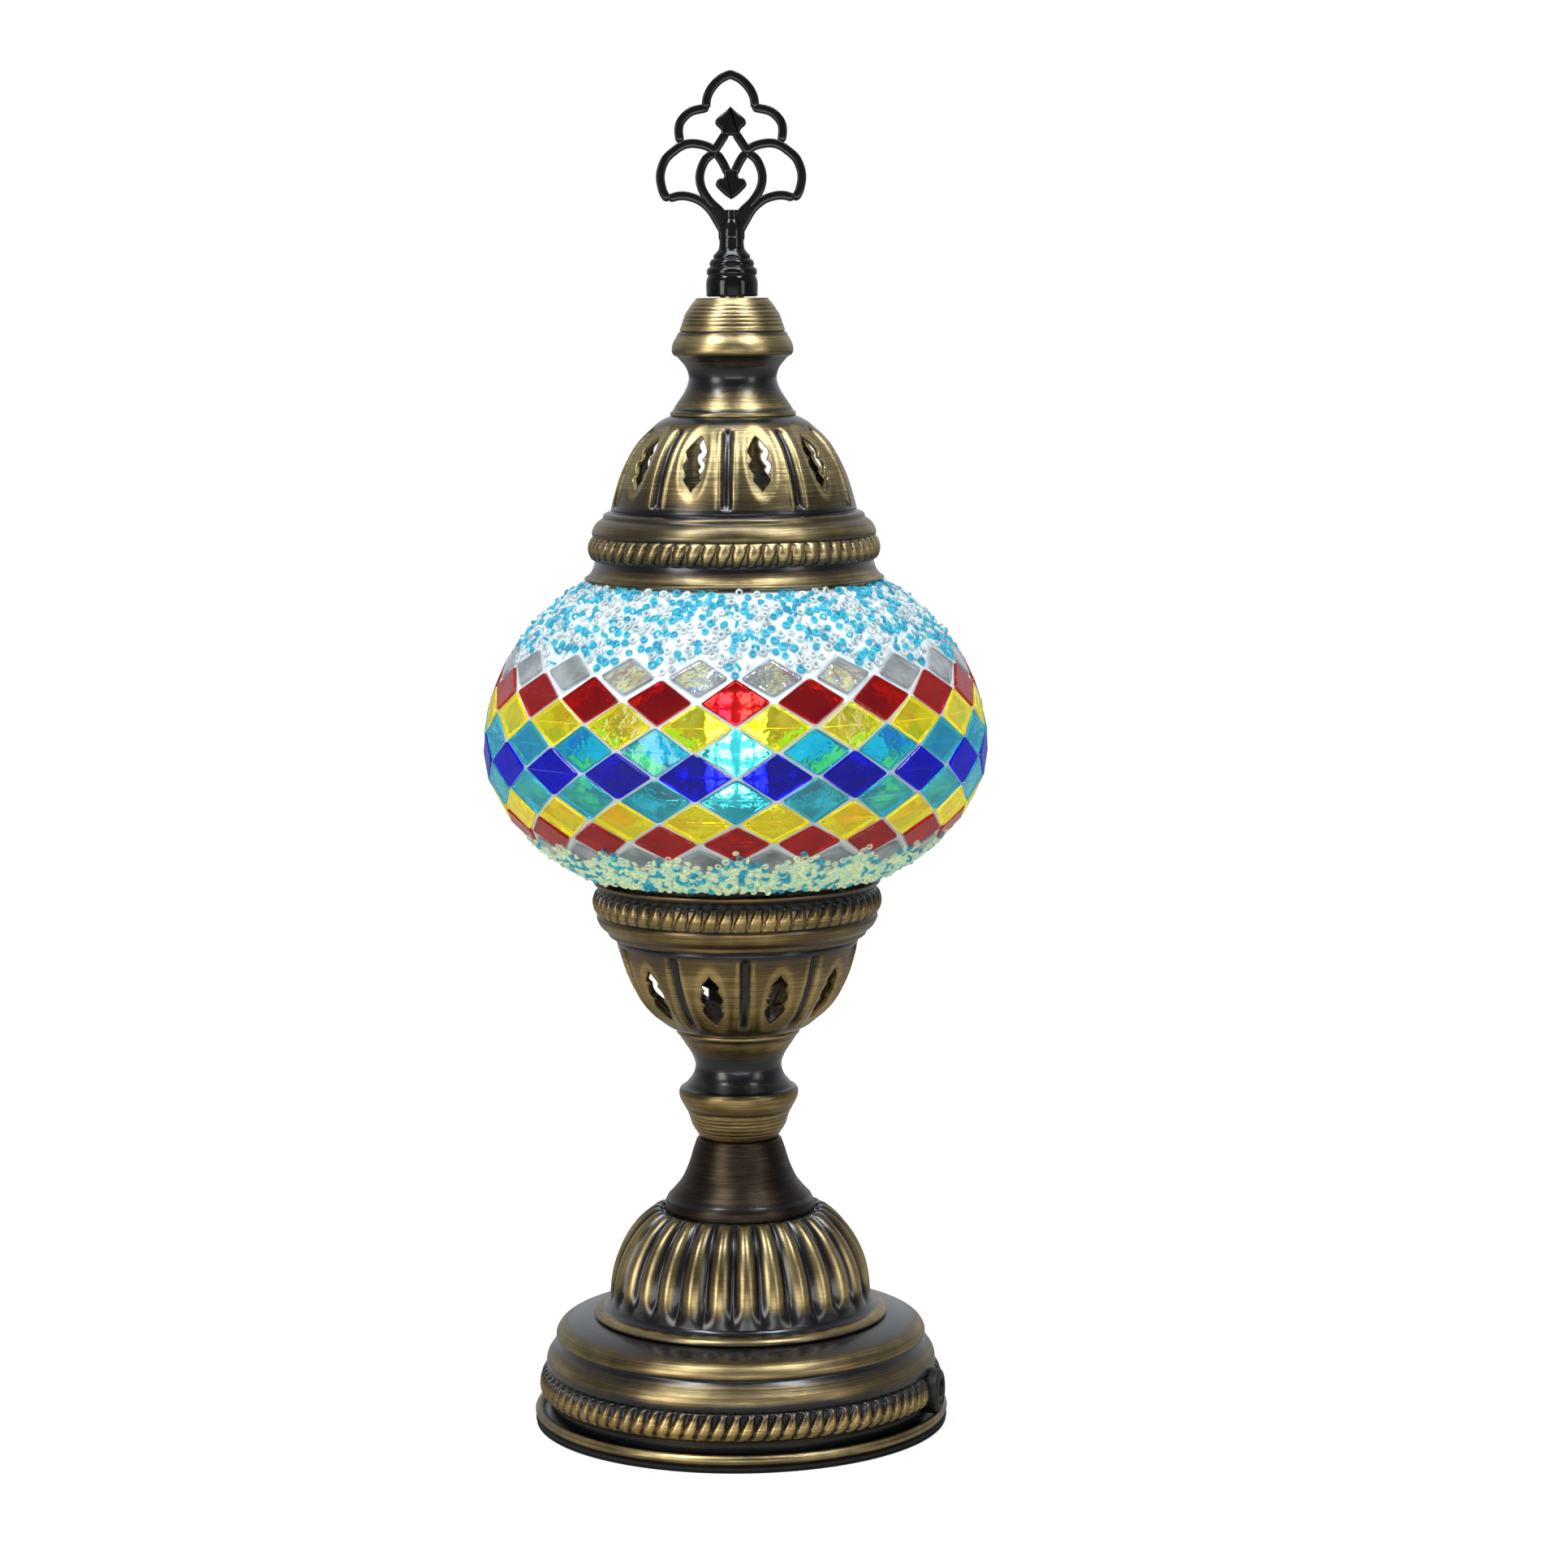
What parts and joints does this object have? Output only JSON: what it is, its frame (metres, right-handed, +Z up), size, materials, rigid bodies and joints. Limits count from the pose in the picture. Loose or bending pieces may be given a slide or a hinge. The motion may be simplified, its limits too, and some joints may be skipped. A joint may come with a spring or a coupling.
{
  "type": "mosaic glass table lamp",
  "caption": "Mosaic glass table lamp: a round tiled and beaded globe between two pierced brass cups, with a turned stem, a fluted round base and an openwork finial.",
  "frame": {"origin": "centre of the felt pad's underside, on the lamp's axis", "axes": "+Z up along the lamp's axis, -Y towards the front, where the finial's openwork faces"},
  "size_m": [0.1254, 0.1254, 0.3366],
  "materials": {
    "aged_brass": "brushed antique brass with dark patina in the hollows",
    "dark_brass": "brushed brass under a dark brown patina",
    "black_metal": "glossy black enamel",
    "plated_steel": "zinc plated",
    "spring_steel": "blued spring strip",
    "contact_brass": "bright rolled brass",
    "black_plastic": "moulded black plastic",
    "white_plastic": "moulded white plastic",
    "rubber": "soft black rubber",
    "felt": "black felt",
    "brown_lead": "insulated lead",
    "blue_lead": "insulated lead",
    "globe_glass": "blown clear glass",
    "grout": "fine white grout",
    "clear_glass": "rippled clear sheet glass",
    "red_glass": "rippled red sheet glass",
    "yellow_glass": "rippled yellow sheet glass",
    "turquoise_glass": "rippled turquoise sheet glass",
    "navy_glass": "rippled deep blue sheet glass",
    "bead_glass": "turquoise and clear seed beads",
    "bulb_cover": "clear moulded cover",
    "led_board": "white enamelled board",
    "led_light": "lit phosphor"
  },
  "bodies": {
    "base": {"felt_pad": "felt", "base_tray": "aged_brass", "base_shell": "aged_brass", "base_dome": "aged_brass", "base_bell": "dark_brass", "cord_inlet": "black_plastic", "centre_rod": "plated_steel", "rod_nuts": "plated_steel", "rod_washers": "plated_steel", "stem_end_cup": "aged_brass", "stem_neck": "aged_brass", "lower_cup": "aged_brass", "cup_gasket": "rubber", "holder_base": "black_plastic", "holder_sleeve": "black_plastic", "holder_insert": "white_plastic", "holder_screw_shell": "plated_steel", "holder_centre_contact": "contact_brass", "holder_side_contact": "contact_brass", "holder_terminal_screws": "plated_steel", "terminal_block": "white_plastic", "terminal_screws": "plated_steel", "live_lead": "brown_lead", "neutral_lead": "blue_lead"},
    "bulb": {"bulb_cover": "bulb_cover", "bulb_housing": "white_plastic", "bulb_screw_cap": "plated_steel", "bulb_insulator": "black_plastic", "bulb_tip_contact": "contact_brass", "led_core": "led_board", "led_chips": "led_light"},
    "globe": {"globe_glass": "globe_glass", "grout_bed": "grout", "tiles_1_clear": "clear_glass", "tiles_2_red": "red_glass", "tiles_3_yellow": "yellow_glass", "tiles_4_turquoise": "turquoise_glass", "tiles_5_navy": "navy_glass", "tiles_6_turquoise": "turquoise_glass", "tiles_7_yellow": "yellow_glass", "tiles_8_red": "red_glass", "tiles_9_clear": "clear_glass", "beads_upper": "bead_glass", "beads_lower": "bead_glass"},
    "cap": {"cap_dome": "aged_brass", "cap_neck": "aged_brass", "cap_end_cup": "aged_brass", "cap_stud": "plated_steel", "cap_nuts": "plated_steel", "clip_spider": "spring_steel"},
    "finial": {"finial_collar": "black_metal", "finial_fret": "black_metal"}
  },
  "joints": [
    {"name": "globe_lift", "type": "slide", "parent": "base", "child": "globe", "axis": [0, 0, 1], "range_m": [0, 0.1]},
    {"name": "cap_lift", "type": "slide", "parent": "globe", "child": "cap", "axis": [0, 0, 1], "range_m": [0, 0.06]},
    {"name": "bulb_out", "type": "slide", "parent": "base", "child": "bulb", "axis": [0, 0, 1], "range_m": [0, 0.022]},
    {"name": "finial_turn", "type": "hinge", "parent": "cap", "child": "finial", "pos_m": [0, 0, 0.285], "axis": [0, 0, 1], "continuous": true}
  ]
}
